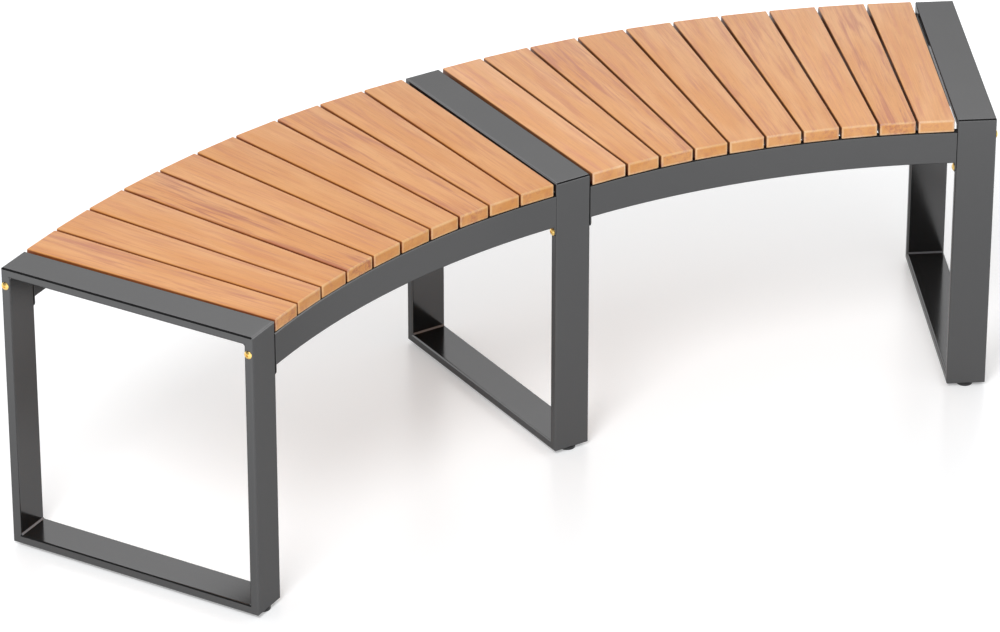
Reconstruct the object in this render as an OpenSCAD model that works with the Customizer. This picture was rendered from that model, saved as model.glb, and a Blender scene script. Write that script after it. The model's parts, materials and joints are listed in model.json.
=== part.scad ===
// Curved patio bench: two fans of tapered wooden slats on bent steel rails, carried by three
// flat rings of rectangular steel tube. Millimetres, +Z up. The origin is on the ground, below
// the middle of the bench's bounding box, and the hollow side of the curve faces -Y.

/* [Seat] */
// Height of the seat above the ground
seat_h = 457; // [430:1:490]
// Depth of the seat, from its inner edge to its outer edge
seat_depth = 424; // [380:1:460]
// Radius of the inner edge of one section of the seat
inner_r = 1165; // [1000:5:1500]
// Angle of the arc that the inner edge of one section follows
section_angle = 28.9; // [24:0.1:32]

/* [Slats] */
// Number of slats in one section
slat_count = 10; // [7:1:11]
// Thickness of a slat
slat_t = 20; // [18:1:26]
// Gap between two slats at their inner ends
gap_inner = 3.7; // [3:0.1:8]
// Gap between two slats at their outer ends
gap_outer = 4.7; // [3:0.1:12]
// Gap between a frame and the slat beside it, at the slat's inner end
end_gap_inner = 4; // [3:0.1:8]
// Gap between a frame and the slat beside it, at the slat's outer end
end_gap_outer = 6.5; // [4:0.1:12]
// Inner share of the fan for the slat beside the middle frame, where a regular slat has 1
first_share_inner = 1.046; // [0.9:0.002:1.2]
// Outer share of the fan for the slat beside the middle frame
first_share_outer = 0.928; // [0.8:0.002:1.2]
// Number of slats after the first one that taper more than a regular slat
early_slats = 3; // [1:1:5]
// Inner share of the fan for each of these slats
early_share_inner = 0.956; // [0.9:0.002:1.1]
// Outer share of the fan for each of these slats
early_share_outer = 1.04; // [0.9:0.002:1.1]
// Outer share of the fan for the slat beside the end frame
last_share_outer = 0.95; // [0.8:0.002:1.2]
// Distance that the slats' ends stay behind the faces of the legs
slat_inset = 0.5; // [0.2:0.1:2]
// Radius of the rounded edges along a slat
slat_edge_r = 2; // [1.8:0.1:4]
// Radius of the rounded edges at a slat's ends
slat_end_r = 1.5; // [0.5:0.1:1.7]

/* [Frames] */
// Width of the frame tube, along the bench
tube_w = 60; // [50:1:70]
// Thickness of the frame tube
tube_t = 14; // [14:0.5:18]
// Wall of the frame tube
tube_wall = 1.5; // [1.2:0.1:1.6]
// Radius along the edges of the frame tube
tube_edge_r = 3; // [1.8:0.1:3.4]
// Radius of the four outer corners of a frame
frame_corner_r = 3; // [2:0.5:4]
// Angle by which an end frame is turned from the middle frame
frame_turn = 27.5; // [24:0.1:32]

/* [Rails] */
// Height of a rail
rail_h = 52; // [40:1:60]
// Thickness of a rail
rail_t = 14; // [14:0.5:16]
// Wall of a rail
rail_wall = 1.5; // [1.2:0.1:1.6]
// Radius along the edges of a rail
rail_edge_r = 2; // [1.8:0.1:3]
// Thickness of the plate welded on each end of a rail
plate_t = 2; // [1.5:0.5:3]
// Distance from the underside of a rail down to the bolt in its plate
lug_drop = 9; // [8:0.5:12]

/* [Bolts] */
// Diameter of the frame bolts
bolt_d = 6; // [5:1:6]
// Diameter of a bolt's button head
bolt_head_d = 12; // [11:0.5:12.5]
// Height of a bolt's button head
bolt_head_h = 3; // [2.5:0.5:4]
// Distance between the flats of a bolt's socket
bolt_socket_af = 4; // [3:0.5:5]
// Distance from the top of a rail down to the long bolt
long_bolt_drop = 8; // [7.5:0.5:12]
// Distance between the flats of a bolt's nut
nut_af = 10; // [9:0.5:10]
// Thickness of a bolt's nut
nut_t = 5; // [4:0.5:6]

/* [Slat screws] */
// Diameter of a slat screw
screw_d = 4; // [3.5:0.5:5]
// Length of a slat screw under its head
screw_l = 16; // [12:1:18]
// Diameter of a slat screw's pan head
screw_head_d = 7.5; // [6.5:0.5:8]
// Height of a slat screw's pan head
screw_head_h = 2.4; // [2:0.2:3]
// Diameter of the driver hole in the underside of a rail
driver_hole_d = 9; // [8.5:0.5:9.5]

/* [Feet] */
// Height of a foot pad, which is also the gap between a frame and the ground
pad_h = 5; // [4:0.5:10]
// Diameter of a foot pad
pad_d = 25; // [22:1:30]
// Distance from a leg's outer face to the middle of its foot pad
pad_inset = 13; // [12.5:0.5:18]
// Diameter of a foot's stud
stud_d = 6; // [5:1:6]
// Length of a foot's stud above its pad
stud_l = 12; // [10:0.5:12]
// Distance between the flats of a foot's nut
foot_nut_af = 10; // [9:0.5:11]
// Thickness of a foot's nut
foot_nut_t = 5; // [4:0.5:6]

/* [Clearances] */
// Room around a bolt or a stud in a hole, on the radius
bolt_clear = 0.3; // [0.2:0.1:0.5]
// Room around a thread in its nut, and around a screw in its pilot hole, on the radius
thread_clear = 0.08; // [0.05:0.01:0.1]

/* [Hidden] */
$fn = 48;
arc_steps = 360;
eps = 1;

steel_paint = "#55565a";
teak = "#d9a06b";
yellow_zinc = "#d8b04a";
zinc = "#b9bcc0";
black_nylon = "#1c1c1e";

// Heights
frame_h = seat_h - pad_h;
rail_top = seat_h - slat_t;
rail_bottom = rail_top - rail_h;
lug_z = rail_bottom - lug_drop;
long_bolt_z = rail_top - long_bolt_drop;
ring_floor_z = pad_h + tube_wall;

// Lengths of the fasteners, from what they pass through
long_bolt_l = tube_w + plate_t + nut_t;
short_bolt_l = plate_t + tube_wall + nut_t;
screw_seat_z = rail_top - rail_wall;

// Radii of one section
outer_r = inner_r + seat_depth;
slat_r0 = inner_r + slat_inset;
slat_r1 = outer_r - slat_inset;
rail_r0 = inner_r + rail_t / 2;
rail_r1 = outer_r - rail_t / 2;
screw_inset = rail_t / 2 - slat_inset;

// Angle of the section's outer edge, where it meets the end frame, and of the rails before they
// are trimmed to that frame
outer_angle = atan2(inner_r * sin(section_angle) + seat_depth * sin(frame_turn),
                    inner_r * cos(section_angle) + seat_depth * cos(frame_turn));
rail_angle = max(section_angle, outer_angle);
rail_trim = rail_t + seat_depth * sin(abs(section_angle - frame_turn));

// Angles kept free beside the frames, at the inner and the outer edge
inner_margin = (end_gap_inner - gap_inner / 2) / inner_r * 180 / PI;
outer_margin = (end_gap_outer - gap_outer / 2) / outer_r * 180 / PI;

// Place of the end frames' front face, from the middle frame's front face
frame_x = tube_w / 2 + inner_r * sin(section_angle) + tube_w / 2 * cos(frame_turn);
frame_y = inner_r * (cos(section_angle) - 1) - tube_w / 2 * sin(frame_turn);

// Lowest Y of the bench, at an end frame's rounded edge, and the shift to the box's middle
edge_pull = tube_edge_r * (cos(frame_turn) + sin(frame_turn) - 1);
front_y = frame_y - tube_w / 2 * sin(frame_turn) + edge_pull;
shift_y = -(front_y + seat_depth) / 2;

SIDES = [-1, 0, 1];
SECTIONS = [-1, 1];
ENDS = ["front", "back"];

function side_name(side) = side < 0 ? "left" : side > 0 ? "right" : "middle";
function rail_name(side, end) = str("rail_", side_name(side), end == "front" ? "_inner" : "_outer");
function slat_name(side, i) = str("slat_", side_name(side), "_", i);
function leg_name(side, end) = str("leg_", side_name(side), "_", end);
function pad_name(side, end) = str("foot_pad_", side_name(side), "_", end);
function stud_name(side, end) = str("foot_stud_", side_name(side), "_", end);
function rail_sides(side) = side == 0 ? [-1, 1] : [-side];

// Shares of the fan up to the slat i, with the given share for the first, early and last slats
function share(i, first, early, last) =
    i == 1 ? first : i <= early_slats + 1 ? early : i == slat_count ? last : 1;
function shares(i, first, early, last) =
    i == 0 ? 0 : shares(i - 1, first, early, last) + share(i, first, early, last);
function inner_part(i) = shares(i, first_share_inner, early_share_inner, 1);
function outer_part(i) = shares(i, first_share_outer, early_share_outer, last_share_outer);

// Angles of the line between slat i and the next slat, at the inner and the outer edge
function inner_line(i) =
    inner_margin + (section_angle - 2 * inner_margin) * inner_part(i) / inner_part(slat_count);
function outer_line(i) =
    outer_margin + (outer_angle - 2 * outer_margin) * outer_part(i) / outer_part(slat_count);

// Middles of a slat's ends, the way from one to the other, and its widths there
function on_arc(r, a) = [r * sin(a), r * cos(a)];
function slat_start(i) = on_arc(slat_r0, (inner_line(i - 1) + inner_line(i)) / 2);
function slat_stop(i) = on_arc(slat_r1, (outer_line(i - 1) + outer_line(i)) / 2);
function slat_way(i) = slat_stop(i) - slat_start(i);
function slat_length(i) = norm(slat_way(i));
function slat_w0(i) = 2 * slat_r0 * sin((inner_line(i) - inner_line(i - 1)) / 2) - gap_inner;
function slat_w1(i) = 2 * slat_r1 * sin((outer_line(i) - outer_line(i - 1)) / 2) - gap_outer;

// Rectangle with round corners, centred
module rounded_rect(w, h, r) {
    square([w - 2 * r, h], center = true);
    square([w, h - 2 * r], center = true);
    for (x = [-1, 1], y = [-1, 1])
        translate([x * (w / 2 - r), y * (h / 2 - r)]) circle(r);
}

// Section of a rectangular tube, solid or its bore
module tube_section(w, h, r) {
    rounded_rect(w, h, r);
}

module bore_section(w, h, wall) {
    square([w - 2 * wall, h - 2 * wall], center = true);
}

// Shape drawn in Y and Z, as thick along X as given and centred on X
module across(w) {
    rotate([90, 0, 90]) linear_extrude(w, center = true) children();
}

// Whole bench shifted so that the origin is under the middle of its box
module on_ground() {
    translate([0, shift_y, 0]) children();
}

// Axes of a frame: X across its tube, Y from its front face to its back face
module at_frame(side) {
    on_ground()
    translate([side * frame_x, abs(side) * frame_y, 0])
    rotate(-side * frame_turn)
    children();
}

// Front end of a frame as drawn, or turned round for its back end
module at_end(end) {
    if (end == "front") children();
    if (end == "back") translate([0, seat_depth, 0]) mirror([0, 1, 0]) children();
}

// Axes of a section: the origin is the centre of its arcs
module at_section(side) {
    on_ground()
    mirror([side < 0 ? 1 : 0, 0, 0])
    translate([tube_w / 2, -inner_r, 0])
    children();
}

// One of a section's two ends: X leads from the leg's face into the section, and Y along that
// face, from the arcs' centre at the middle frame or as far from the inner edge at an end frame
module at_rail_end(far) {
    if (far)
        rotate(-section_angle) translate([0, inner_r, 0])
            rotate(section_angle - frame_turn) translate([0, -inner_r, 0])
            mirror([1, 0, 0]) children();
    if (!far) children();
}

// Axes of a slat: the origin is the middle of its inner end, and Y leads to its outer end
module at_slat(i) {
    way = slat_way(i);
    translate(concat(slat_start(i), 0)) rotate(-atan2(way[0], way[1])) children();
}

// The two places in a slat's axes where its screws go up from the rails
module at_screw(i, end) {
    at_slat(i)
    translate([0, end == "front" ? screw_inset : slat_length(i) - screw_inset, 0])
    children();
}

// Cylinder along X
module x_cylinder(d, l) {
    rotate([0, 90, 0]) cylinder(d = d, h = l);
}

// Hexagonal prism along Z, with two flats facing X
module hex_prism(af, h) {
    rotate(30) cylinder(d = af / cos(30), h = h, $fn = 6);
}

// Outline of a frame seen along the bench
module frame_outline() {
    translate([seat_depth / 2, pad_h + frame_h / 2]) rounded_rect(seat_depth, frame_h, frame_corner_r);
}

// Mitred shares of the frame's outline, with the joint lines at 45 degrees
module leg_share() {
    polygon([[0, pad_h], [tube_t, pad_h + tube_t], [tube_t, seat_h - tube_t], [0, seat_h]]);
}

module top_share() {
    polygon([[0, seat_h], [tube_t, seat_h - tube_t],
             [seat_depth - tube_t, seat_h - tube_t], [seat_depth, seat_h]]);
}

// Frame members before their holes are drilled
module leg_tube() {
    difference() {
        intersection() {
            translate([0, tube_t / 2, pad_h]) linear_extrude(frame_h) tube_section(tube_w, tube_t, tube_edge_r);
            across(tube_w + 2 * eps) intersection() {
                leg_share();
                frame_outline();
            }
        }
        translate([0, tube_t / 2, pad_h - eps])
            linear_extrude(frame_h + 2 * eps) bore_section(tube_w, tube_t, tube_wall);
    }
}

module top_tube() {
    difference() {
        intersection() {
            translate([0, 0, seat_h - tube_t / 2]) rotate([-90, 0, 0])
                linear_extrude(seat_depth) tube_section(tube_w, tube_t, tube_edge_r);
            across(tube_w + 2 * eps) intersection() {
                top_share();
                frame_outline();
            }
        }
        translate([0, -eps, seat_h - tube_t / 2]) rotate([-90, 0, 0])
            linear_extrude(seat_depth + 2 * eps) bore_section(tube_w, tube_t, tube_wall);
    }
}

// Mirror image of a top tube at the foot of the ring
module bottom_tube() {
    translate([0, 0, seat_h + pad_h]) mirror([0, 0, 1]) top_tube();
}

module leg(side, end) {
    color(steel_paint) at_frame(side) at_end(end) difference() {
        leg_tube();
        for (rail_side = rail_sides(side))
            translate([rail_side * (tube_w / 2 - tube_t / 2), tube_t / 2, lug_z])
                rotate([0, rail_side * 90, 0]) cylinder(d = bolt_d + 2 * bolt_clear, h = tube_t);
        if (side != 0)
            translate([-tube_w, tube_t / 2, long_bolt_z]) x_cylinder(bolt_d + 2 * bolt_clear, 2 * tube_w);
    }
}

module frame_top(side) {
    color(steel_paint) at_frame(side) top_tube();
}

module frame_bottom(side) {
    color(steel_paint) at_frame(side) difference() {
        bottom_tube();
        for (end = ENDS)
            at_end(end) translate([0, pad_inset, pad_h - eps])
                cylinder(d = stud_d + 2 * bolt_clear, h = tube_wall + 2 * eps);
    }
}

// Bent rail: a rolled tube, cut square to the end plates, with its screw and driver holes
module rail(side, end) {
    r = end == "front" ? rail_r0 : rail_r1;
    color(steel_paint) at_section(side) difference() {
        rail_arc(r) tube_section(rail_t, rail_h, rail_edge_r);
        rail_arc(r) bore_section(rail_t, rail_h, rail_wall);
        for (far = [false, true])
            at_rail_end(far) translate([-rail_trim, r - rail_t, rail_bottom - eps])
                cube([rail_trim + plate_t, 2 * rail_t, rail_h + 2 * eps]);
        for (i = [1 : slat_count]) at_screw(i, end) {
            translate([0, 0, rail_top - 2 * rail_wall])
                cylinder(d = screw_d + 2 * bolt_clear, h = 3 * rail_wall);
            translate([0, 0, rail_bottom - rail_wall])
                cylinder(d = driver_hole_d, h = 3 * rail_wall);
        }
    }
}

module rail_arc(r) {
    rotate(90 - rail_angle)
        rotate_extrude(angle = rail_angle, $fn = arc_steps)
            translate([r, (rail_top + rail_bottom) / 2]) children();
}

// Plate that closes a rail's end, with a round lug below for the short bolt
module end_plate(long_bolt) {
    translate([plate_t / 2, 0, 0]) across(plate_t) difference() {
        union() {
            translate([0, (rail_top + rail_bottom) / 2])
                rounded_rect(rail_t, rail_h, rail_edge_r);
            translate([-rail_t / 2, lug_z]) square([rail_t, rail_h / 2 + lug_drop]);
            translate([0, lug_z]) circle(d = rail_t);
        }
        translate([0, lug_z]) circle(d = bolt_d + 2 * bolt_clear);
        if (long_bolt) translate([0, long_bolt_z]) circle(d = bolt_d + 2 * bolt_clear);
    }
}

module rail_end_plates() {
    color(steel_paint) for (side = SECTIONS, r = [rail_r0, rail_r1], far = [false, true])
        at_section(side) at_rail_end(far) translate([0, r, 0]) end_plate(far);
}

// Tapered slat with rounded edges, its length along Y: the share of three rounded prisms
module slat_block(w0, w1, l) {
    intersection() {
        across(2 * w1) translate([l / 2, rail_top + slat_t / 2]) rounded_rect(l, slat_t, slat_end_r);
        intersection() {
            slat_side(-1, w0, w1, l);
            slat_side(1, w0, w1, l);
        }
    }
}

// Prism that gives the slat its left or right edge and reaches far past the other one
module slat_side(hand, w0, w1, l) {
    lean = atan((w1 - w0) / 2 / l);
    translate([hand * w0 / 2, 0, rail_top + slat_t / 2])
        rotate(-hand * lean)
        translate([-hand * w1, l / 2, 0])
        rotate([90, 0, 0])
        linear_extrude(2 * l, center = true)
        rounded_rect(2 * w1, slat_t, slat_edge_r);
}

module slat(side, i) {
    color(teak) at_section(side) difference() {
        at_slat(i) slat_block(slat_w0(i), slat_w1(i), slat_length(i));
        for (end = ENDS)
            at_screw(i, end) translate([0, 0, rail_top - eps])
                cylinder(d = screw_d + 2 * thread_clear, h = screw_l - rail_wall + thread_clear + eps);
    }
}

// Button head with a hexagon socket, its seat at Z = 0 and the shank below
module button_bolt(l) {
    socket_depth = 0.6 * bolt_head_h;
    difference() {
        button_head();
        translate([0, 0, bolt_head_h - socket_depth]) hex_prism(bolt_socket_af, bolt_head_h);
    }
    translate([0, 0, -l]) cylinder(d = bolt_d, h = l + eps / 2);
}

// Low dome: a slice of a ball on a thin rim
module button_head() {
    rim = 0.25 * bolt_head_h;
    rise = bolt_head_h - rim;
    ball_r = (pow(bolt_head_d / 2, 2) + pow(rise, 2)) / (2 * rise);
    intersection() {
        cylinder(d = bolt_head_d, h = bolt_head_h);
        translate([0, 0, bolt_head_h - ball_r]) sphere(ball_r, $fn = 96);
    }
}

module long_bolts() {
    color(yellow_zinc) for (side = SECTIONS, end = ENDS)
        at_frame(side) at_end(end) translate([side * tube_w / 2, tube_t / 2, long_bolt_z])
            rotate([0, side * 90, 0]) button_bolt(long_bolt_l);
}

module short_bolts() {
    color(yellow_zinc) for (side = SIDES, end = ENDS, rail_side = rail_sides(side))
        at_frame(side) at_end(end)
            translate([rail_side * (tube_w / 2 + plate_t), tube_t / 2, lug_z])
                rotate([0, rail_side * 90, 0]) button_bolt(short_bolt_l);
}

// Nut on the Z axis, with two flats facing X
module nut(af, d, t) {
    difference() {
        hex_prism(af, t);
        translate([0, 0, -eps]) cylinder(d = d + 2 * thread_clear, h = t + 2 * eps);
    }
}

// Nut welded inside a leg, its flats towards the leg's broad walls
module leg_nuts() {
    color(zinc) for (side = SIDES, end = ENDS, rail_side = rail_sides(side))
        at_frame(side) at_end(end)
            translate([rail_side * (tube_w / 2 - tube_wall - nut_t), tube_t / 2, lug_z])
                rotate([0, rail_side * 90, 0]) rotate(90) nut(nut_af, bolt_d, nut_t);
}

// Nut welded behind the end plate, inside a rail
module rail_nuts() {
    color(zinc) for (side = SECTIONS, r = [rail_r0, rail_r1])
        at_section(side) at_rail_end(true) translate([plate_t, r, long_bolt_z])
            rotate([0, 90, 0]) rotate(90) nut(nut_af, bolt_d, nut_t);
}

module at_foot(side, end) {
    at_frame(side) at_end(end) translate([0, pad_inset, 0]) children();
}

module foot_nuts() {
    color(zinc) for (side = SIDES, end = ENDS)
        at_foot(side, end) translate([0, 0, ring_floor_z]) nut(foot_nut_af, stud_d, foot_nut_t);
}

// Nylon pad moulded round the end of its stud
module foot_pad(side, end) {
    rim = 0.15 * pad_h;
    color(black_nylon) at_foot(side, end) difference() {
        rotate_extrude() polygon([[0, 0], [pad_d / 2 - rim, 0], [pad_d / 2, rim],
                                  [pad_d / 2, pad_h - rim], [pad_d / 2 - rim, pad_h], [0, pad_h]]);
        translate([0, 0, pad_h / 2]) cylinder(d = stud_d, h = pad_h);
    }
}

module foot_stud(side, end) {
    color(zinc) at_foot(side, end) translate([0, 0, pad_h / 2])
        cylinder(d = stud_d, h = pad_h / 2 + stud_l);
}

// Screw up through a rail's top wall into a slat
module slat_screw() {
    translate([0, 0, screw_seat_z - screw_head_h]) cylinder(d = screw_head_d, h = screw_head_h);
    translate([0, 0, screw_seat_z - eps / 2]) cylinder(d = screw_d, h = screw_l + eps / 2);
}

module slat_screws() {
    color(zinc) for (side = SECTIONS, i = [1 : slat_count], end = ENDS)
        at_section(side) at_screw(i, end) slat_screw();
}

for (side = SIDES, end = ENDS) {
    leg(side, end);
    foot_pad(side, end);
    foot_stud(side, end);
}
for (side = SIDES) {
    frame_top(side);
    frame_bottom(side);
}
for (side = SECTIONS) {
    for (end = ENDS)
        rail(side, end);
    for (i = [1 : slat_count])
        slat(side, i);
}
rail_end_plates();
long_bolts();
short_bolts();
leg_nuts();
rail_nuts();
foot_nuts();
slat_screws();
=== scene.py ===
"""Curved patio bench: finishes, boards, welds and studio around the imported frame.

All sizes are metres in the row's frame: +Z up, the origin on the ground under the middle of the
bench, and the hollow side of the curve towards -Y.
"""

import json
import logging
import math
import random
from dataclasses import dataclass, field
from enum import Enum
from typing import Any, Iterator, Optional

import bmesh
import bpy
from mathutils import Matrix, Vector


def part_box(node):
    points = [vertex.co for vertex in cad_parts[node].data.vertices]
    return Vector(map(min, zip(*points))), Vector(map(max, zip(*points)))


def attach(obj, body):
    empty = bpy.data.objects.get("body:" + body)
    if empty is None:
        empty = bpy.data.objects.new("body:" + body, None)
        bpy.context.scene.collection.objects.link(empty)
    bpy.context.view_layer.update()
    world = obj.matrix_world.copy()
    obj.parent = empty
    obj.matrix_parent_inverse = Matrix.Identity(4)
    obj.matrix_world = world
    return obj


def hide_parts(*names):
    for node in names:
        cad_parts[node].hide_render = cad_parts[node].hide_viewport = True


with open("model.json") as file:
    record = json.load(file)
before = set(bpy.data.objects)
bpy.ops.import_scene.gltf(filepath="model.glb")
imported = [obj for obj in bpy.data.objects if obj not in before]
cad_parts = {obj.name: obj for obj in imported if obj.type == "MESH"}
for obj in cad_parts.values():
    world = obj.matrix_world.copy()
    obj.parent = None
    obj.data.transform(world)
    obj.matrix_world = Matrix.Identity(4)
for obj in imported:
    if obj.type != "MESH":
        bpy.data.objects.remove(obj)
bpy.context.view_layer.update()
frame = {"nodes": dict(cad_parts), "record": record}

log = logging.getLogger("bench")

BENCH_BODY = "bench"

# A face looks along an axis when its normal has more than this share of it
FACING = 0.9

WHITE = (1, 1, 1, 1)

Colour = tuple[float, float, float]
Finishes = dict[Enum, bpy.types.Material]


class Side(Enum):
    """Which frame or section of the bench, with its sign along X."""

    LEFT = -1
    MIDDLE = 0
    RIGHT = 1

    @property
    def word(self) -> str:
        """The side's name as the nodes write it."""
        return self.name.lower()


class Slot(Enum):
    """The record's material slots."""

    PAINT = "grey_paint"
    WOOD = "wood"
    YELLOW_ZINC = "yellow_zinc"
    PLAIN_ZINC = "plain_zinc"
    PAD = "black_pad"


class Extra(Enum):
    """Finishes that no slot of the record stands for."""

    # Lighter coat of the weld fillets, a painted highlight along the inside corners
    WELD = "weld_highlight_coat"


SECTIONS = (Side.LEFT, Side.RIGHT)
FRAMES = (Side.LEFT, Side.MIDDLE, Side.RIGHT)


@dataclass(frozen=True)
class Shares:
    """How a fan is shared out among its slats, where a regular slat has 1."""

    first: float
    early: float
    last: float
    early_slats: int = 3

    def up_to(self, number: int, count: int) -> float:
        """Adds up the shares from the middle frame outwards.

        Args:
            number: The last slat that is added, or 0 for none.
            count: Number of slats in the fan.

        Returns:
            The sum of the shares.
        """
        early = min(max(number - 1, 0), self.early_slats)
        regular = min(max(number - 1 - self.early_slats, 0), count - 2 - self.early_slats)
        return (self.first * (number > 0) + self.early * early + regular
                + self.last * (number == count))


@dataclass(frozen=True)
class Layout:
    """Driving sizes of the bench, with the places that follow from them."""

    inner_r: float = 1.165
    section_angle: float = math.radians(28.9)
    frame_turn: float = math.radians(27.5)
    seat_depth: float = 0.424
    slat_count: int = 10
    gap_inner: float = 0.0037
    gap_outer: float = 0.0047
    end_gap_inner: float = 0.004
    end_gap_outer: float = 0.0065
    slat_inset: float = 0.0005
    inner_shares: Shares = Shares(1.046, 0.956, 1.0)
    outer_shares: Shares = Shares(0.928, 1.04, 0.95)
    tube_w: float = 0.06
    tube_t: float = 0.014

    @property
    def shift_y(self) -> float:
        """Y of the middle frame's front face in the row's frame."""
        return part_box("leg_middle_front")[0].y

    @property
    def ring_bottom(self) -> float:
        """Underside of the ring frames, above the pads."""
        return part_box("frame_bottom_middle")[0].z

    @property
    def seat_top(self) -> float:
        """Top of the frames and of the slats."""
        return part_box("frame_top_middle")[1].z

    @property
    def outer_angle(self) -> float:
        """Angle at which the section's outer edge meets the end frame.

        Returns:
            The angle about the section's centre.
        """
        arc, turn = self.section_angle, self.frame_turn
        x = self.inner_r * math.sin(arc) + self.seat_depth * math.sin(turn)
        y = self.inner_r * math.cos(arc) + self.seat_depth * math.cos(turn)
        return math.atan2(x, y)

    def line_angle(self, number: int, outer: bool) -> float:
        """Angle of the line between one slat and the next.

        Args:
            number: The slat on the middle frame's side of the line, or 0.
            outer: True for the seat's outer edge, False for its inner edge.

        Returns:
            The angle about the section's centre.
        """
        if outer:
            shares, whole = self.outer_shares, self.outer_angle
            margin = (self.end_gap_outer - self.gap_outer / 2) / (self.inner_r + self.seat_depth)
        else:
            shares, whole = self.inner_shares, self.section_angle
            margin = (self.end_gap_inner - self.gap_inner / 2) / self.inner_r
        count = self.slat_count
        part = shares.up_to(number, count) / shares.up_to(count, count)
        return margin + (whole - 2 * margin) * part

    def slat_radius(self, outer: bool) -> float:
        """Radius at which the middle of a slat's end lies.

        Args:
            outer: True for the outer end, False for the inner end.

        Returns:
            The radius in metres.
        """
        if outer:
            return self.inner_r + self.seat_depth - self.slat_inset
        return self.inner_r + self.slat_inset

    def slat_end(self, number: int, outer: bool) -> Vector:
        """Middle of a slat's end, from the centre of the section's arcs.

        Args:
            number: The slat's number, counted from 1 at the middle frame.
            outer: True for the outer end, False for the inner end.

        Returns:
            The point, on the right-hand section.
        """
        angle = (self.line_angle(number - 1, outer) + self.line_angle(number, outer)) / 2
        return self.slat_radius(outer) * Vector((math.sin(angle), math.cos(angle), 0))

    def slat_width(self, number: int, outer: bool) -> float:
        """Width of a slat at one end: its chord of the fan less the gap.

        Args:
            number: The slat's number.
            outer: True for the outer end, False for the inner end.

        Returns:
            The width in metres.
        """
        share = self.line_angle(number, outer) - self.line_angle(number - 1, outer)
        gap = self.gap_outer if outer else self.gap_inner
        return 2 * self.slat_radius(outer) * math.sin(share / 2) - gap

    def slat_length(self, number: int) -> float:
        """Length of a slat from the middle of one end to the middle of the other."""
        return (self.slat_end(number, True) - self.slat_end(number, False)).length

    def slat_place(self, side: Side, number: int) -> Matrix:
        """Matrix from a slat's own axes to the row's frame.

        Args:
            side: The section, left or right.
            number: The slat's number, counted from 1 at the middle frame.

        Returns:
            The matrix. The slat's own origin is the middle of its inner end, on the ground, and Y
            leads to its outer end.
        """
        start, way = self.slat_end(number, False), self.slat_end(number, True)
        way = way - start
        turn = math.atan2(way.x, way.y)
        place = Vector((side.value * (self.tube_w / 2 + start.x),
                        self.shift_y - self.inner_r + start.y, 0))
        return Matrix.Translation(place) @ Matrix.Rotation(-side.value * turn, 4, "Z")

    def frame_place(self, side: Side) -> Matrix:
        """Matrix from a ring frame's own axes to the row's frame.

        Args:
            side: Which of the three frames.

        Returns:
            The matrix. X runs across the tube and Y from the front face to the back face.
        """
        arc, turn, half = self.section_angle, self.frame_turn, self.tube_w / 2
        x = half + self.inner_r * math.sin(arc) + half * math.cos(turn)
        y = self.inner_r * (math.cos(arc) - 1) - half * math.sin(turn)
        place = Vector((side.value * x, abs(side.value) * y + self.shift_y, 0))
        return Matrix.Translation(place) @ Matrix.Rotation(-side.value * turn, 4, "Z")


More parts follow.
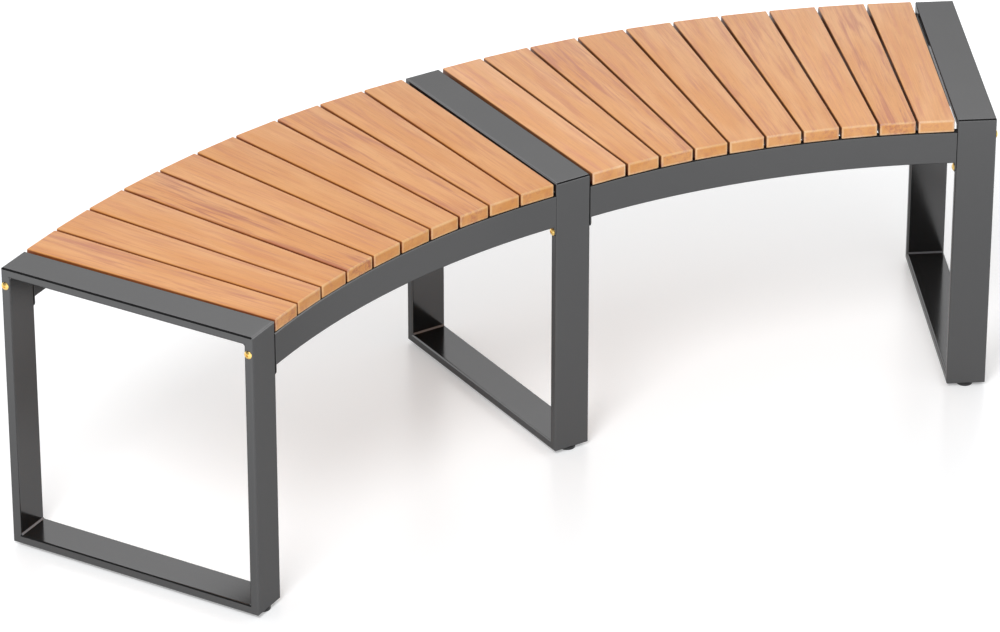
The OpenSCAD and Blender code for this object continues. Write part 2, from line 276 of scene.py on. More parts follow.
class NodeSheet:
    """Short hand for placing and joining the nodes of one tree."""

    def __init__(self, tree: bpy.types.NodeTree) -> None:
        """Starts on an empty tree.

        Args:
            tree: The node tree, whose old nodes are removed.
        """
        self.tree = tree
        tree.nodes.clear()

    def add(self, kind: str, settings: Optional[dict[str, object]] = None,
            **inputs: object) -> bpy.types.Node:
        """Adds a node, sets its properties and fills its sockets.

        Args:
            kind: The node's type name.
            settings: Properties of the node.
            inputs: Socket values or links, by socket name with underscores for spaces.

        Returns:
            The new node.
        """
        node = self.tree.nodes.new(kind)
        for key, value in (settings or {}).items():
            setattr(node, key, value)
        for key, value in inputs.items():
            self.fill(node.inputs[key.replace("_", " ")], value)
        return node

    def fill(self, socket: bpy.types.NodeSocket, value: object) -> None:
        """Links a socket, or sets its plain value.

        Args:
            socket: The input socket.
            value: Another node's output socket, or a number or colour.
        """
        if isinstance(value, bpy.types.NodeSocket):
            self.tree.links.new(value, socket)
        else:
            socket.default_value = value

    def maths(self, operation: str, first: object, second: object = 0.0) -> bpy.types.NodeSocket:
        """One step of arithmetic.

        Args:
            operation: The Math node's operation.
            first: A value or an output socket.
            second: A value or an output socket.

        Returns:
            The result's socket.
        """
        node = self.add("ShaderNodeMath", {"operation": operation})
        self.fill(node.inputs[0], first)
        self.fill(node.inputs[1], second)
        return node.outputs[0]

    def span(self, value: object, low: float, high: float, to_low: float = 0.0,
             to_high: float = 1.0) -> bpy.types.NodeSocket:
        """Stretches a range of values onto another, and stops at its ends.

        Args:
            value: The value or socket to stretch.
            low: Value that becomes to_low.
            high: Value that becomes to_high.
            to_low: New low end.
            to_high: New high end.

        Returns:
            The result's socket.
        """
        node = self.add("ShaderNodeMapRange", {"clamp": True, "interpolation_type": "SMOOTHSTEP"})
        for name, number in (("Value", value), ("From Min", low), ("From Max", high),
                             ("To Min", to_low), ("To Max", to_high)):
            self.fill(node.inputs[name], number)
        return node.outputs["Result"]

    def blend(self, share: object, first: object, second: object,
              mode: str = "MIX") -> bpy.types.NodeSocket:
        """Mixes two colours.

        Args:
            share: How much of the second colour.
            first: The first colour or socket.
            second: The second colour or socket.
            mode: The Mix node's blend type.

        Returns:
            The mixed colour's socket.
        """
        node = self.add("ShaderNodeMix", {"data_type": "RGBA", "blend_type": mode})
        self.fill(node.inputs["Factor"], share)
        self.fill(node.inputs[6], first)
        self.fill(node.inputs[7], second)
        return node.outputs[2]

    def noise(self, point: object, scale: float, detail: float = 4.0, roughness: float = 0.55,
              distortion: float = 0.0) -> bpy.types.NodeSocket:
        """Cloudy noise at a point.

        Args:
            point: The coordinate's socket.
            scale: Features per metre.
            detail: Number of finer layers.
            roughness: Share that each finer layer keeps.
            distortion: How far the pattern is dragged about.

        Returns:
            The noise value's socket, about 0.5 on average.
        """
        node = self.add("ShaderNodeTexNoise", Vector=point, Scale=scale, Detail=detail,
                        Roughness=roughness, Distortion=distortion)
        return node.outputs["Fac"]

    def stretch(self, point: object, scale: tuple[float, float, float]) -> bpy.types.NodeSocket:
        """Scales a coordinate by a different share along each axis.

        Args:
            point: The coordinate's socket.
            scale: Shares along X, Y and Z.

        Returns:
            The scaled coordinate's socket.
        """
        return self.add("ShaderNodeMapping", Vector=point, Scale=scale).outputs["Vector"]


def new_material(name: str) -> tuple[bpy.types.Material, NodeSheet]:
    """Makes a material with an empty tree.

    Args:
        name: The material's name.

    Returns:
        The material and its node sheet.
    """
    material = bpy.data.materials.new(name)
    material.use_nodes = True
    return material, NodeSheet(material.node_tree)


def finish_material(sheet: NodeSheet, shader: bpy.types.Node) -> None:
    """Joins a shader to the material's output.

    Args:
        sheet: The material's node sheet.
        shader: The node whose first output is the surface.
    """
    sheet.add("ShaderNodeOutputMaterial", Surface=shader.outputs[0])


def grain_group() -> bpy.types.NodeTree:
    """Builds the shared group for the fine unevenness of a coated or moulded surface.

    Returns:
        The group, with a cloud mask, a height and a roughness as outputs.
    """
    name = "fine_unevenness"
    if name in bpy.data.node_groups:
        return bpy.data.node_groups[name]
    tree = bpy.data.node_groups.new(name, "ShaderNodeTree")
    for label, start in (("Cell Scale", 900.0), ("Cloud Scale", 14.0),
                         ("Roughness", 0.3), ("Roughness Spread", 0.05)):
        socket = tree.interface.new_socket(label, in_out="INPUT", socket_type="NodeSocketFloat")
        socket.default_value = start
    for label in ("Cloud", "Height", "Roughness"):
        tree.interface.new_socket(label, in_out="OUTPUT", socket_type="NodeSocketFloat")
    sheet = NodeSheet(tree)
    given = sheet.add("NodeGroupInput").outputs
    point = sheet.add("ShaderNodeTexCoord").outputs["Object"]
    cloud = sheet.noise(point, 1.0, detail=3.0)
    sheet.fill(cloud.node.inputs["Scale"], given["Cloud Scale"])
    height = sheet.noise(point, 1.0, detail=2.0)
    sheet.fill(height.node.inputs["Scale"], given["Cell Scale"])
    swing = sheet.maths("MULTIPLY", sheet.maths("SUBTRACT", cloud, 0.5), given["Roughness Spread"])
    sheet.add("NodeGroupOutput", Cloud=cloud, Height=height,
              Roughness=sheet.maths("ADD", given["Roughness"], swing))
    return tree


def add_grain(sheet: NodeSheet, **values: float) -> bpy.types.Node:
    """Places the shared unevenness group in a material.

    Args:
        sheet: The material's node sheet.
        values: The group's inputs, by socket name with underscores for spaces.

    Returns:
        The group node.
    """
    node = sheet.add("ShaderNodeGroup", {"node_tree": grain_group()})
    for key, value in values.items():
        sheet.fill(node.inputs[key.replace("_", " ")], value)
    return node


@dataclass(frozen=True)
class CoatedMetal:
    """A metal surface with a fine uneven skin: powder coat or zinc plating.

    Wide clouds vary its shade and gloss, and small cells its bumps. Both scales are in features
    per metre.
    """

    name: str
    shade: Colour
    metallic: float
    roughness: float
    roughness_spread: float
    cell_scale: float
    bump: float
    cloud_depth: float
    edge_tint: float = 1.0
    cloud_scale: float = 9.0
    bump_depth: float = 0.0004

    def build(self) -> bpy.types.Material:
        """Makes the material.

        Returns:
            The new material.
        """
        material, sheet = new_material(self.name)
        grain = add_grain(sheet, Cell_Scale=self.cell_scale, Cloud_Scale=self.cloud_scale,
                          Roughness=self.roughness, Roughness_Spread=self.roughness_spread)
        dim = tuple(c * (1 - self.cloud_depth) for c in self.shade)
        bright = tuple(c * (1 + self.cloud_depth) for c in self.shade)
        colour = sheet.blend(grain.outputs["Cloud"], (*dim, 1), (*bright, 1))
        bump = sheet.add("ShaderNodeBump", Height=grain.outputs["Height"],
                         Strength=self.bump, Distance=self.bump_depth)
        finish_material(sheet, sheet.add(
            "ShaderNodeBsdfPrincipled", Base_Color=colour, Metallic=self.metallic,
            Specular_Tint=(self.edge_tint, self.edge_tint, self.edge_tint, 1),
            Roughness=grain.outputs["Roughness"], Normal=bump.outputs["Normal"]))
        return material


@dataclass(frozen=True)
class MouldedNylon:
    """Black moulded plastic with a faint texture."""

    name: str = "black_nylon"
    shade: Colour = (0.012, 0.012, 0.013)
    cloud_gain: float = 1.4
    roughness: float = 0.5
    roughness_spread: float = 0.1
    cell_scale: float = 2200.0
    cloud_scale: float = 60.0
    bump: float = 0.25
    bump_depth: float = 0.0002

    def build(self) -> bpy.types.Material:
        """Makes the material.

        Returns:
            The new material.
        """
        material, sheet = new_material(self.name)
        grain = add_grain(sheet, Cell_Scale=self.cell_scale, Cloud_Scale=self.cloud_scale,
                          Roughness=self.roughness, Roughness_Spread=self.roughness_spread)
        bright = tuple(c * self.cloud_gain for c in self.shade)
        colour = sheet.blend(grain.outputs["Cloud"], (*self.shade, 1), (*bright, 1))
        bump = sheet.add("ShaderNodeBump", Height=grain.outputs["Height"],
                         Strength=self.bump, Distance=self.bump_depth)
        finish_material(sheet, sheet.add(
            "ShaderNodeBsdfPrincipled", Base_Color=colour,
            Roughness=grain.outputs["Roughness"], Normal=bump.outputs["Normal"]))
        return material


@dataclass(frozen=True)
class GrainLayer:
    """One noise of the wood, drawn out along the board.

    Along is the share that a step along the board counts for, beside one across it. Low and high
    are the range that the noise is read over.
    """

    along: float
    scale: float
    detail: float
    low: float
    high: float
    roughness: float = 0.55
    distortion: float = 0.0

    def build(self, sheet: NodeSheet, point: bpy.types.NodeSocket) -> bpy.types.NodeSocket:
        """Makes the layer's nodes.

        Args:
            sheet: The material's node sheet.
            point: The board's own coordinate.

        Returns:
            The noise value's socket.
        """
        drawn_out = sheet.stretch(point, (1.0, self.along, 1.0))
        return sheet.noise(drawn_out, self.scale, self.detail, self.roughness, self.distortion)

    def read(self, sheet: NodeSheet, value: bpy.types.NodeSocket, to_low: float = 0.0,
             to_high: float = 1.0) -> bpy.types.NodeSocket:
        """Stretches the layer's own range onto another.

        Args:
            sheet: The material's node sheet.
            value: The noise value's socket.
            to_low: New low end.
            to_high: New high end.

        Returns:
            The result's socket.
        """
        return sheet.span(value, self.low, self.high, to_low, to_high)


@dataclass(frozen=True)
class OiledHardwood:
    """Light oiled hardwood that reads its grain from the boards' own attributes.

    The first four colours are the wood's own. The others multiply them. Deep and light set a
    board's tone, whose higher end is painted light on the right section.
    Two colours paint shade on the board sides in the gaps. One paints light on the sawn ends, and
    one paints a highlight on the rims round them.
    """

    name: str = "oiled_hardwood"
    pale: Colour = (0.672, 0.322, 0.116)
    golden: Colour = (0.630, 0.275, 0.081)
    pink: Colour = (0.525, 0.200, 0.105)
    heart: Colour = (0.370, 0.125, 0.070)
    # A board's tone runs from deep to light; the right section's higher tones are painted light
    deep: Colour = (0.970, 0.910, 0.780)
    light: Colour = (1.140, 1.220, 1.520)
    # Painted shade on the board sides in the gaps, warm or dark by the board's tone
    warm_gap_shade: Colour = (0.270, 0.095, 0.016)
    dark_gap_shade: Colour = (0.095, 0.020, 0.004)
    # Painted light: the sawn ends are lightened, as if more light fell on them
    end: Colour = (1.080, 1.100, 1.080)
    # Painted highlight: pales the rims round the ends, as if their eased edges caught the light
    rim: Colour = (1.120, 1.420, 1.900)
    cloud: GrainLayer = GrainLayer(0.16, 22.0, 2.0, 0.38, 0.62)
    band: GrainLayer = GrainLayer(0.09, 60.0, 4.0, 0.36, 0.66, distortion=0.6)
    streak: GrainLayer = GrainLayer(0.055, 170.0, 5.0, 0.38, 0.70, roughness=0.60, distortion=0.5)
    fibre: GrainLayer = GrainLayer(0.02, 950.0, 3.0, 0.3, 0.7)
    pore: GrainLayer = GrainLayer(0.045, 1500.0, 1.0, 0.66, 0.78)
    band_floor: float = 0.20
    streaky_figure: float = 0.6
    plain_pinkness: float = 0.65
    band_share: float = 0.6
    heart_range: tuple[float, float] = (0.47, 0.62)
    heart_share: float = 0.55
    fibre_shades: tuple[float, float] = (0.95, 1.04)
    pore_shade: float = 0.80
    # Tones over which the painted shade in the gaps turns from warm to dark
    gap_shade_tones: tuple[float, float] = (0.3, 0.7)
    fibre_height: float = 0.7
    pore_height: float = -0.6
    bump: float = 0.35
    bump_depth: float = 0.0002
    roughness: float = 0.42
    roughness_swing: tuple[float, float] = (-0.05, 0.08)
    roughness_range: tuple[float, float] = (0.3, 0.7)
    shine: float = 0.2

    def attribute(self, sheet: NodeSheet, name: str, output: str = "Fac") -> bpy.types.NodeSocket:
        """Reads one of the boards' own attributes.

        Args:
            sheet: The material's node sheet.
            name: The attribute's name.
            output: Which output is wanted.

        Returns:
            The output's socket.
        """
        return sheet.add("ShaderNodeAttribute", {"attribute_name": name}).outputs[output]

    def figured_colour(self, sheet: NodeSheet, cloud: bpy.types.NodeSocket,
                       band: bpy.types.NodeSocket,
                       streak: bpy.types.NodeSocket) -> bpy.types.NodeSocket:
        """Mixes the wood's colours along its clouds, pink lines and dark heartwood.

        Args:
            sheet: The material's node sheet.
            cloud: The widest layer of the grain.
            band: The layer of broad bands.
            streak: The layer of narrow streaks.

        Returns:
            The colour's socket.
        """
        figure = self.attribute(sheet, "board_figure")
        colour = sheet.blend(self.cloud.read(sheet, cloud), (*self.golden, 1), (*self.pale, 1))
        lines = sheet.maths("MULTIPLY", self.streak.read(sheet, streak),
                            self.band.read(sheet, band, self.band_floor))
        strength = sheet.span(figure, 0.0, self.streaky_figure, self.plain_pinkness, 1.0)
        colour = sheet.blend(sheet.maths("MULTIPLY", lines, strength), colour, (*self.pink, 1))
        drawn = sheet.maths("ADD", sheet.maths("MULTIPLY", band, self.band_share),
                            sheet.maths("MULTIPLY", streak, 1 - self.band_share))
        heartwood = sheet.maths("MULTIPLY", sheet.span(drawn, *self.heart_range), figure)
        return sheet.blend(sheet.maths("MULTIPLY", heartwood, self.heart_share), colour,
                           (*self.heart, 1))

    def shaded_colour(self, sheet: NodeSheet, colour: bpy.types.NodeSocket,
                      fibre: bpy.types.NodeSocket,
                      pore: bpy.types.NodeSocket) -> bpy.types.NodeSocket:
        """Shades a colour by the fibres and pores, and paints shade and light on it by where it
        lies on the board.

        Args:
            sheet: The material's node sheet.
            colour: The figured colour.
            fibre: The layer of fibres.
            pore: The layer of pores.

        Returns:
            The colour's socket.
        """
        tone = self.attribute(sheet, "board_tone")
        shade = sheet.maths("MULTIPLY", self.fibre.read(sheet, fibre, *self.fibre_shades),
                            self.pore.read(sheet, pore, 1.0, self.pore_shade))
        grey = sheet.add("ShaderNodeCombineColor")
        for channel in grey.inputs:
            sheet.fill(channel, shade)
        colour = sheet.blend(1.0, colour, grey.outputs[0], mode="MULTIPLY")
        # The tone also carries painted light between the sections: the right section's boards are
        # paler
        tint = sheet.blend(tone, (*self.deep, 1), (*self.light, 1))
        colour = sheet.blend(1.0, colour, tint, mode="MULTIPLY")
        # Painted shade on the board sides in the gaps, darker where the tone is high
        gap_shade_colour = sheet.blend(sheet.span(tone, *self.gap_shade_tones), (*self.warm_gap_shade, 1),
                            (*self.dark_gap_shade, 1))
        # Painted shade on the sides in the gaps, painted light on the ends, and a painted highlight
        # on the rims
        for name, dye in (("board_flank", gap_shade_colour), ("board_end", (*self.end, 1)),
                          ("board_rim", (*self.rim, 1))):
            colour = sheet.blend(self.attribute(sheet, name), colour, dye, mode="MULTIPLY")
        return colour

    def build(self) -> bpy.types.Material:
        """Makes the material.

        Returns:
            The new material.
        """
        material, sheet = new_material(self.name)
        point = self.attribute(sheet, "grain_point", "Vector")
        cloud, band, streak, fibre, pore = (layer.build(sheet, point) for layer in (
            self.cloud, self.band, self.streak, self.fibre, self.pore))
        colour = self.figured_colour(sheet, cloud, band, streak)
        colour = self.shaded_colour(sheet, colour, fibre, pore)
        height = sheet.maths(
            "ADD", sheet.maths("MULTIPLY", fibre, self.fibre_height),
            sheet.maths("MULTIPLY", self.pore.read(sheet, pore), self.pore_height))
        bump = sheet.add("ShaderNodeBump", Height=height, Strength=self.bump,
                         Distance=self.bump_depth)
        smoothest, roughest = (self.roughness + swing for swing in self.roughness_swing)
        rough = sheet.span(streak, *self.roughness_range, smoothest, roughest)
        finish_material(sheet, sheet.add(
            "ShaderNodeBsdfPrincipled", Base_Color=colour, Roughness=rough,
            Specular_IOR_Level=self.shine, Normal=bump.outputs["Normal"]))
        return material


@dataclass(frozen=True)
class FinishSet:
    """The bench's finishes: one for each slot of the record, and the welds' lighter coat, a painted
    highlight.
    """

    paint: CoatedMetal = CoatedMetal(
        "grey_powder_coat", (0.104, 0.104, 0.105), metallic=0.86, roughness=0.13,
        roughness_spread=0.04, cell_scale=700.0, bump=0.04, cloud_depth=0.02, edge_tint=0.4)
    # Painted highlight: the welds' lighter coat stands in for the light that the fillets catch in
    # the inside corners
    weld: CoatedMetal = CoatedMetal(
        "weld_highlight_coat", (0.26, 0.27, 0.29), metallic=0.4, roughness=0.24,
        roughness_spread=0.04, cell_scale=700.0, bump=0.04, cloud_depth=0.02)
    yellow_zinc: CoatedMetal = CoatedMetal(
        "yellow_zinc_plating", (0.86, 0.60, 0.20), metallic=1.0, roughness=0.36,
        roughness_spread=0.1, cell_scale=1500.0, bump=0.08, cloud_depth=0.08)
    plain_zinc: CoatedMetal = CoatedMetal(
        "bright_zinc_plating", (0.62, 0.63, 0.65), metallic=1.0, roughness=0.3,
        roughness_spread=0.1, cell_scale=1500.0, bump=0.08, cloud_depth=0.06)
    pad: MouldedNylon = MouldedNylon()
    wood: OiledHardwood = OiledHardwood()

    def build(self) -> Finishes:
        """Makes every material.

        Returns:
            The materials by slot, and the extra ones.
        """
        return {
            Slot.PAINT: self.paint.build(),
            Slot.YELLOW_ZINC: self.yellow_zinc.build(),
            Slot.PLAIN_ZINC: self.plain_zinc.build(),
            Slot.PAD: self.pad.build(),
            Slot.WOOD: self.wood.build(),
            Extra.WELD: self.weld.build(),
        }


def dress(obj: bpy.types.Object, material: bpy.types.Material) -> None:
    """Gives an object one material.

    Args:
        obj: A mesh object.
        material: Its only material.
    """
    if not obj.material_slots:
        obj.data.materials.append(None)
    for holder in obj.material_slots:
        holder.link = "OBJECT"
        holder.material = material


def piece_from(bm: bmesh.types.BMesh, name: str, place: Matrix,
               smooth_under: float = math.radians(50)) -> bpy.types.Object:
    """Turns a bmesh into a piece whose place is in its mesh.

    Args:
        bm: The shape, which is freed.
        name: The piece's name.
        place: Matrix from the shape's axes to the row's frame.
        smooth_under: Edges that turn by less than this are shaded smooth.

    Returns:
        The new object, at the origin.
    """
    bm.transform(place)
    bmesh.ops.recalc_face_normals(bm, faces=bm.faces)
    mesh = bpy.data.meshes.new(name)
    bm.to_mesh(mesh)
    bm.free()
    mesh.shade_smooth()
    mesh.set_sharp_from_angle(angle=smooth_under)
    piece = bpy.data.objects.new(name, mesh)
    bpy.context.scene.collection.objects.link(piece)
    return piece


@dataclass
class SlatFans:
    """The tapered boards of both sections.

    A board carries its grain in attributes: its place in the log, its tone, which also paints its
    section's light, and how streaked it is.
    It also carries the marks of its painted shade and light: painted shade on its sides in the
    gaps, painted light on its sawn ends, and a painted highlight on the rims round them.
    The streaky boards are the ones that show heartwood in the photograph.
    """

    layout: Layout
    edge_r: float = 0.002
    edge_segments: int = 4
    # How far below the top the painted shade on the board sides fades in
    gap_shade_depth: float = 0.0025
    # Width and reach of the painted highlight round the ends
    rim_width: float = 0.002
    rim_reach: float = 0.0015
    log_spread: float = 20.0
    plain_figure: float = 0.25
    tone_spread: float = 0.4
    # Middle tone of each section. The right section's higher middle is painted light, with paler
    # boards and darker gaps as if more light fell on that side; the spread round it is the wood's
    # own
    section_light_tones: dict[Side, float] = field(
        default_factory=lambda: {Side.LEFT: 0.25, Side.RIGHT: 0.75})
    seed: int = 11
    streaky: dict[tuple[Side, int], float] = field(default_factory=lambda: {
        (Side.LEFT, 7): 1.0, (Side.LEFT, 3): 0.45, (Side.RIGHT, 3): 0.5,
        (Side.RIGHT, 9): 0.55, (Side.LEFT, 10): 0.45})
    pieces: list[bpy.types.Object] = field(default_factory=list)

    def board_shape(self, number: int) -> bmesh.types.BMesh:
        """Makes one tapered board with rounded edges and a rim marked for a painted highlight, its
        length along Y.

        Args:
            number: The slat's number, counted from 1 at the middle frame.

        Returns:
            The board in its own axes, at its real height.
        """
        low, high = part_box(f"slat_left_{number}")
        width, length = self.layout.slat_width(number, False), self.layout.slat_length(number)
        bm = bmesh.new()
        bmesh.ops.create_cube(bm, size=1.0)
        bmesh.ops.scale(bm, vec=Vector((width, length, high.z - low.z)), verts=bm.verts)
        far = [v for v in bm.verts if v.co.y > 0]
        spread = self.layout.slat_width(number, True) / width
        bmesh.ops.scale(bm, vec=Vector((spread, 1, 1)), verts=far)
        bmesh.ops.bevel(bm, geom=list(bm.edges), offset=self.edge_r, offset_type="OFFSET",
                        segments=self.edge_segments, profile=0.5, affect="EDGES", material=-1)
        ends = [f for f in bm.faces
                if abs(f.normal.y) > FACING and f.calc_area() > width * self.edge_r]
        # A band round each end face carries a painted highlight that fades in from the edges
        bmesh.ops.inset_region(bm, faces=ends, thickness=self.rim_width, use_even_offset=True)
        rim = bm.verts.layers.float.new("board_rim")
        for vert in bm.verts:
            vert[rim] = float(length / 2 - abs(vert.co.y) < self.rim_reach)
        for vert in {v for f in ends for v in f.verts}:
            vert[rim] = 0.0
        bmesh.ops.translate(bm, vec=Vector((0, length / 2, (low.z + high.z) / 2)), verts=bm.verts)
        return bm

    def mark_grain(self, bm: bmesh.types.BMesh, dice: random.Random, figure: float,
                   section_light_tone: float) -> None:
        """Writes the wood's coordinates and tones onto a board before it is placed, with the marks
        of its painted shade and light.

        Args:
            bm: The board in its own axes.
            dice: Seeded source of the board's differences.
            figure: How strongly the board is streaked, from 0 to 1.
            section_light_tone: Middle of the range that the board's tone lies in.
        """
        grain = bm.verts.layers.float_vector.new("grain_point")
        tone = bm.verts.layers.float.new("board_tone")
        marked = bm.verts.layers.float.new("board_figure")
        flank = bm.verts.layers.float.new("board_flank")
        end = bm.verts.layers.float.new("board_end")
        log_part = Vector([dice.uniform(-self.log_spread, self.log_spread) for _ in range(3)])
        # The section's middle tone paints light: the right section's boards come out paler
        shade = section_light_tone + self.tone_spread * (dice.random() - 0.5)
        top = max(vert.co.z for vert in bm.verts)
        for vert in bm.verts:
            vert[grain] = vert.co + log_part
            vert[tone] = shade
            vert[marked] = figure
        for face in bm.faces:
            # Painted shade: the board sides darken below the top, as the gaps between boards are
            # shaded
            if abs(face.normal.x) > FACING:
                for vert in face.verts:
                    vert[flank] = min(max((top - vert.co.z) / self.gap_shade_depth, 0.0), 1.0)
            # Painted light: the sawn ends are marked to be lightened
            if abs(face.normal.y) > FACING:
                for vert in face.verts:
                    vert[end] = 1.0

    def build(self) -> None:
        """Makes the boards, each in the place of its node."""
        dice = random.Random(self.seed)
        for side in SECTIONS:
            for number in range(1, self.layout.slat_count + 1):
                figure = self.streaky.get((side, number), dice.uniform(0.0, self.plain_figure))
                bm = self.board_shape(number)
                self.mark_grain(bm, dice, figure, self.section_light_tones[side])
                name = f"board_{side.word}_{number}"
                board = piece_from(bm, name, self.layout.slat_place(side, number))
                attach(board, BENCH_BODY)
                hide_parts(f"slat_{side.word}_{number}")
                self.pieces.append(board)

    def dress(self, finishes: Finishes) -> None:
        """Gives the boards their wood."""
        for board in self.pieces:
            dress(board, finishes[Slot.WOOD])


@dataclass
class CornerWelds:
    """Dressed weld fillets in the inside corners of the ring frames.

    A fillet stops short of the tube's sides by its end inset, where the tube's edge is round.
    """

    layout: Layout
    radius: float = 0.0022
    segments: int = 6
    end_inset: float = 0.002
    pieces: list[bpy.types.Object] = field(default_factory=list)

    def fillet_shape(self) -> bmesh.types.BMesh:
        """Makes one hollow quarter-round fillet along X, its corner on the X axis.

        Returns:
            The fillet, which fills the corner between +Y and +Z.
        """
        bm = bmesh.new()
        half = self.layout.tube_w / 2 - self.end_inset
        start = bm.verts.new((-half, self.radius, 0))
        bmesh.ops.spin(bm, geom=[start], cent=(-half, self.radius, self.radius), axis=(1, 0, 0),
                       dvec=(0, 0, 0), angle=-math.pi / 2, steps=self.segments, use_duplicate=False)
        bm.verts.new((-half, 0, 0))
        bmesh.ops.contextual_create(bm, geom=bm.verts)
        grown = bmesh.ops.extrude_face_region(bm, geom=bm.faces)
        moved = [v for v in grown["geom"] if isinstance(v, bmesh.types.BMVert)]
        bmesh.ops.translate(bm, vec=Vector((2 * half, 0, 0)), verts=moved)
        return bm

    def corner_places(self) -> Iterator[Matrix]:
        """Goes round the four inside corners of a ring frame.

        Returns:
            The matrix of each corner, in the frame's own axes.
        """
        low = self.layout.ring_bottom + self.layout.tube_t
        high = self.layout.seat_top - self.layout.tube_t
        front = self.layout.tube_t
        back = self.layout.seat_depth - self.layout.tube_t
        for y, z, turn in ((front, low, 0), (back, low, 90), (back, high, 180), (front, high, 270)):
            yield Matrix.Translation((0, y, z)) @ Matrix.Rotation(math.radians(turn), 4, "X")

    def build(self) -> None:
        """Makes the fillets of all three frames."""
        for side in FRAMES:
            for number, corner in enumerate(self.corner_places(), start=1):
                place = self.layout.frame_place(side) @ corner
                weld = piece_from(self.fillet_shape(), f"weld_{side.word}_{number}", place)
                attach(weld, BENCH_BODY)
                self.pieces.append(weld)

    def dress(self, finishes: Finishes) -> None:
        """Gives the welds a lighter coat that paints a highlight along the inside corners."""
        for weld in self.pieces:
            dress(weld, finishes[Extra.WELD])


@dataclass
class CarriedNodes:
    """The nodes whose solids stay in sight: tubes, rails, plates, fasteners and feet."""

    nodes: dict[str, bpy.types.Object]
    record: dict[str, Any]

    def dress(self, finishes: Finishes) -> None:
        """Gives every node the finish of its slot in the record, and reports it.

        Args:
            finishes: The materials by slot.
        """
        for row in self.record["subparts"]:
            dress(self.nodes[row["node"]], finishes[Slot(row["material_slot"])])
            log.info("node %s in %s", row["node"], row["material_slot"])


@dataclass(frozen=True)
class Card:
    """A flat dark or light card that only reflections see.

    It lies level, or stands upright with the first of its sizes as its height.
    """

    name: str
    place: tuple[float, float, float]
    size: tuple[float, float]
    glow: float
    spin: float = 0.0
    upright: bool = False

    def build(self) -> None:
        """Hangs the card."""
        material, sheet = new_material(self.name)
        finish_material(sheet, sheet.add("ShaderNodeEmission", Color=WHITE, Strength=self.glow))
        turn = Matrix.Rotation(self.spin, 4, "Z")
        if self.upright:
            turn = turn @ Matrix.Rotation(math.pi / 2, 4, "Y")
        bm = bmesh.new()
        bmesh.ops.create_grid(bm, x_segments=1, y_segments=1, size=0.5)
        bmesh.ops.scale(bm, vec=Vector((*self.size, 1)), verts=bm.verts)
        card = piece_from(bm, self.name, Matrix.Translation(self.place) @ turn)
        dress(card, material)
        for ray in ("camera", "diffuse", "shadow", "transmission", "volume_scatter"):
            setattr(card, f"visible_{ray}", False)


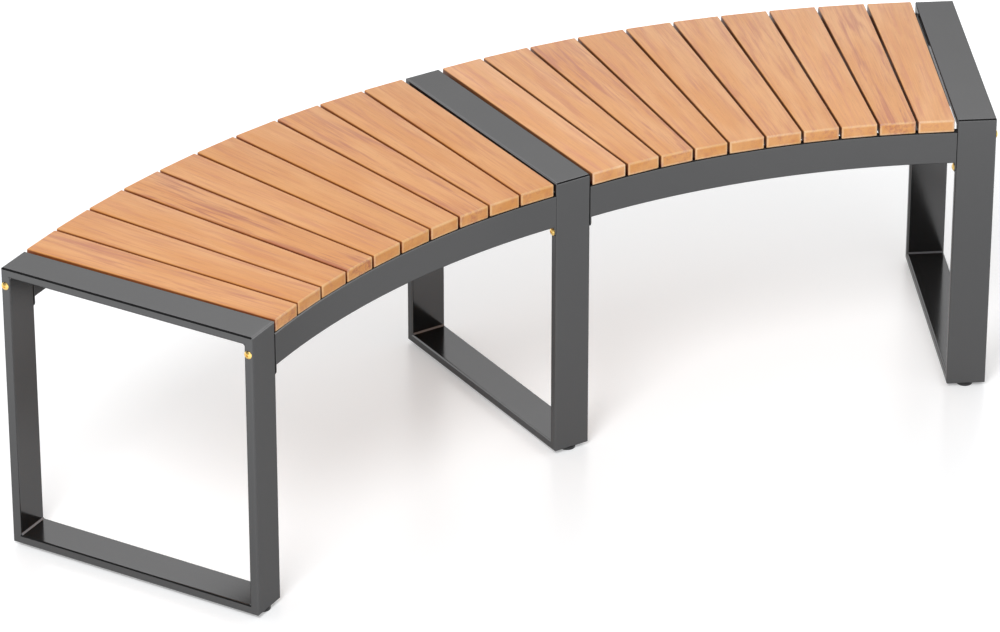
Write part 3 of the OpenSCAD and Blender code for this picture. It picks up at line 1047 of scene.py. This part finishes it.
@dataclass(frozen=True)
class Studio:
    """Pale floor, white surroundings, a soft key light, and cards that the paint reflects.

    The lift is a glow of the floor that only the eye sees, so that the floor is white where
    nothing shades it. The cards give the frames' rounded edges their dark and light lines.
    """

    floor_size: float = 60.0
    floor_shade: Colour = (0.742, 0.752, 0.762)
    floor_roughness: float = 0.28
    floor_shine: float = 0.25
    floor_lift: float = 0.31
    outer_lift: float = 0.45
    outer_range: tuple[float, float] = (0.8, 2.0)
    surround: float = 0.70
    backdrop: float = 1.85
    key_place: tuple[float, float, float] = (-3.4, -2.7, 4.8)
    key_size: float = 2.2
    key_power: float = 200.0
    key_aim: tuple[float, float, float] = (0.0, 0.0, 0.3)
    cards: tuple[Card, ...] = (
        Card("dark_ceiling", (-2.48, -0.75, 5.6), (13.0, 13.5), 0.0, spin=math.radians(-13.8)),
        Card("dark_front_ceiling", (2.5, -5.6, 5.58), (9.0, 9.6), 0.0),
        Card("dark_wall", (-8.0, 0.0, 3.15), (5.3, 12.0), 0.0, upright=True),
        Card("dark_front", (1.0, -9.0, 4.45), (2.3, 14.0), 0.0, spin=math.pi / 2, upright=True),
        Card("light_ceiling", (4.3, 4.6, 5.5), (7.0, 5.0), 3.0),
        Card("light_wall", (7.6, -0.5, 2.8), (5.6, 8.0), 2.3, upright=True),
    )

    def seen_by_eye(self, sheet: NodeSheet) -> bpy.types.NodeSocket:
        """Mask of the rays that the picture, its reflections and glass see.

        Args:
            sheet: The node sheet to work in.

        Returns:
            A socket that is 1 for camera, glossy and transmission rays.
        """
        path = sheet.add("ShaderNodeLightPath").outputs
        mirrored = sheet.maths("MAXIMUM", path["Is Glossy Ray"], path["Is Transmission Ray"])
        return sheet.maths("MAXIMUM", path["Is Camera Ray"], mirrored)

    def build_floor(self) -> None:
        """Makes the pale floor, lifted to white where nothing shades it."""
        bm = bmesh.new()
        bmesh.ops.create_grid(bm, x_segments=1, y_segments=1, size=self.floor_size / 2)
        floor = piece_from(bm, "floor", Matrix.Identity(4))
        material, sheet = new_material("studio_floor")
        surface = sheet.add("ShaderNodeBsdfPrincipled", Base_Color=(*self.floor_shade, 1),
                            Roughness=self.floor_roughness, Specular_IOR_Level=self.floor_shine)
        point = sheet.add("ShaderNodeTexCoord").outputs["Object"]
        distance = sheet.add("ShaderNodeVectorMath", {"operation": "LENGTH"}, Vector=point)
        outside = sheet.span(distance.outputs["Value"], *self.outer_range, 0.0, self.outer_lift)
        lift = sheet.add("ShaderNodeEmission", Color=WHITE, Strength=sheet.maths(
            "MULTIPLY", self.seen_by_eye(sheet), sheet.maths("ADD", outside, self.floor_lift)))
        both = sheet.add("ShaderNodeAddShader")
        sheet.fill(both.inputs[0], surface.outputs[0])
        sheet.fill(both.inputs[1], lift.outputs[0])
        finish_material(sheet, both)
        dress(floor, material)

    def build_surroundings(self) -> None:
        """Makes the world: plain soft light, and white to the eye."""
        world = bpy.data.worlds.new("studio")
        world.use_nodes = True
        sheet = NodeSheet(world.node_tree)
        light = sheet.add("ShaderNodeBackground", Color=WHITE, Strength=self.surround)
        white = sheet.add("ShaderNodeBackground", Color=WHITE, Strength=self.backdrop)
        mix = sheet.add("ShaderNodeMixShader")
        sheet.fill(mix.inputs[0], self.seen_by_eye(sheet))
        sheet.fill(mix.inputs[1], light.outputs[0])
        sheet.fill(mix.inputs[2], white.outputs[0])
        sheet.add("ShaderNodeOutputWorld", Surface=mix.outputs[0])
        bpy.context.scene.world = world

    def build_key(self) -> None:
        """Hangs the soft key light to the left of the bench."""
        lamp = bpy.data.lights.new("key", "AREA")
        lamp.shape = "DISK"
        lamp.size = self.key_size
        lamp.energy = self.key_power
        key = bpy.data.objects.new("key", lamp)
        key.location = self.key_place
        aim = Vector(self.key_aim) - Vector(self.key_place)
        key.rotation_euler = aim.to_track_quat("-Z", "Y").to_euler()
        bpy.context.scene.collection.objects.link(key)

    def build(self) -> None:
        """Sets up the whole studio."""
        self.build_floor()
        self.build_surroundings()
        self.build_key()
        for card in self.cards:
            card.build()
        bpy.context.scene.view_settings.view_transform = "Standard"


@dataclass(frozen=True)
class Viewpoint:
    """The photograph's camera, as fitted to the corners of the three frames."""

    place: tuple[float, float, float] = (-3.9921, -6.2137, 4.1283)
    look_down: float = math.radians(28.178)
    turn: float = math.radians(32.405)
    lens_mm: float = 199.79
    sensor_mm: float = 36.0

    def build(self) -> None:
        """Makes the camera and hands it to the scene."""
        data = bpy.data.cameras.new("camera")
        data.lens = self.lens_mm
        data.sensor_width = self.sensor_mm
        data.dof.use_dof = False
        camera = bpy.data.objects.new("camera", data)
        camera.location = self.place
        camera.rotation_euler = (math.pi / 2 - self.look_down, 0, -self.turn)
        bpy.context.scene.collection.objects.link(camera)
        bpy.context.scene.camera = camera


def main() -> None:
    """Builds the looks, from the finishes to the camera."""
    logging.basicConfig(level=logging.INFO, format="%(name)s: %(message)s")
    layout = Layout()
    finishes = FinishSet().build()
    CarriedNodes(frame["nodes"], frame["record"]).dress(finishes)
    for assembly in (SlatFans(layout), CornerWelds(layout)):
        assembly.build()
        assembly.dress(finishes)
        for piece in assembly.pieces:
            log.info("piece %s: %d faces", piece.name, len(piece.data.polygons))
    Studio().build()
    Viewpoint().build()


if __name__ == "__main__":
    main()
